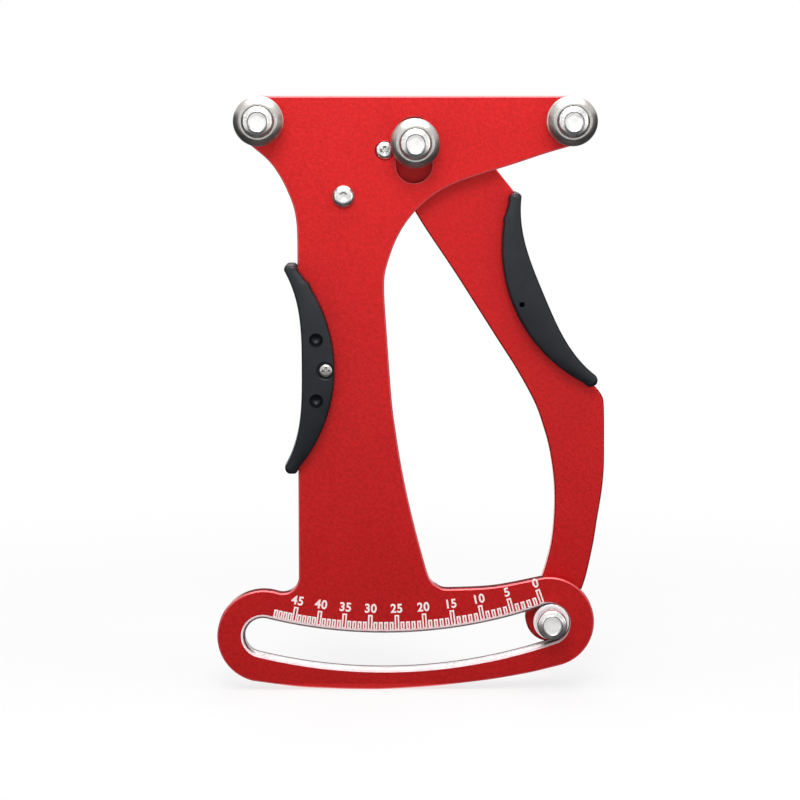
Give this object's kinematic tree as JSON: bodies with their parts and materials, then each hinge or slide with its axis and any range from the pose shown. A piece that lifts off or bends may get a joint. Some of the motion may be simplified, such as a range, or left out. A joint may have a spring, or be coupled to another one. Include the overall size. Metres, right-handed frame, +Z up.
{
  "type": "spoke tension meter",
  "caption": "Hand-held wheel spoke tension meter: slotted frame plate with grooved posts and a scale, sprung swinging arm with pointer, crescent grips.",
  "frame": {"origin": "where the wheel spoke seats, midway between the two fixed posts, at the bottom of their grooves", "axes": "+Z up towards the posts, +X to the right along the spoke, the scale facing -Y"},
  "size_m": [0.1302, 0.0343, 0.199],
  "materials": {
    "anodised_plate": "bead-blasted and anodised red, edges cut bright",
    "turned_steel": "turned and polished",
    "spring_steel": "dark oiled wire",
    "bronze_bush": "plain turned",
    "black_nylon": "satin moulded"
  },
  "bodies": {
    "frame": {"frame_plate": "anodised_plate", "fixed_post_left": "turned_steel", "fixed_post_right": "turned_steel", "fixed_post_left_screw": "turned_steel", "fixed_post_right_screw": "turned_steel", "spring_anchor_screw": "turned_steel", "spring_anchor_post": "spring_steel", "grip_left_front": "black_nylon", "grip_left_rear": "black_nylon", "grip_left_screw": "turned_steel", "pivot_screw": "turned_steel", "pivot_bush": "bronze_bush", "pivot_gap_washer": "black_nylon", "pivot_rear_washer": "turned_steel", "pivot_nut": "turned_steel"},
    "arm": {"arm_plate": "anodised_plate", "moving_post": "turned_steel", "moving_post_screw": "turned_steel", "pointer_bush": "turned_steel", "pointer_washer": "turned_steel", "pointer_screw": "turned_steel", "arm_spring_post": "spring_steel", "grip_right_front": "black_nylon", "grip_right_rear": "black_nylon", "grip_right_screw": "turned_steel"},
    "spring_lower_end": {"spring_lower_hook": "spring_steel", "spring_coil": "spring_steel"},
    "spring_upper_end": {"spring_upper_hook": "spring_steel"}
  },
  "joints": [
    {"name": "arm_swing", "type": "hinge", "parent": "frame", "child": "arm", "pos_m": [-0.01, 0, -0.0046], "axis": [0, 1, 0], "range_deg": [0, 33.7], "stiffness_Nm_per_rad": 3, "springref_deg": -17.19},
    {"name": "spring_swing", "type": "hinge", "parent": "frame", "child": "spring_lower_end", "pos_m": [-0.0236, 0, -0.0197], "axis": [0, 1, 0], "range_deg": [0, 16.9]},
    {"name": "spring_stretch", "type": "slide", "parent": "spring_lower_end", "child": "spring_upper_end", "axis": [-0.204, 0, 0.979], "range_m": [0, 0.0088], "deforming": ["spring_coil"]}
  ],
  "couplings": [
    {"joint": "spring_swing", "follows": "arm_swing", "ratio": 0.5},
    {"joint": "spring_stretch", "follows": "arm_swing", "m_per_rad": 0.0148}
  ]
}
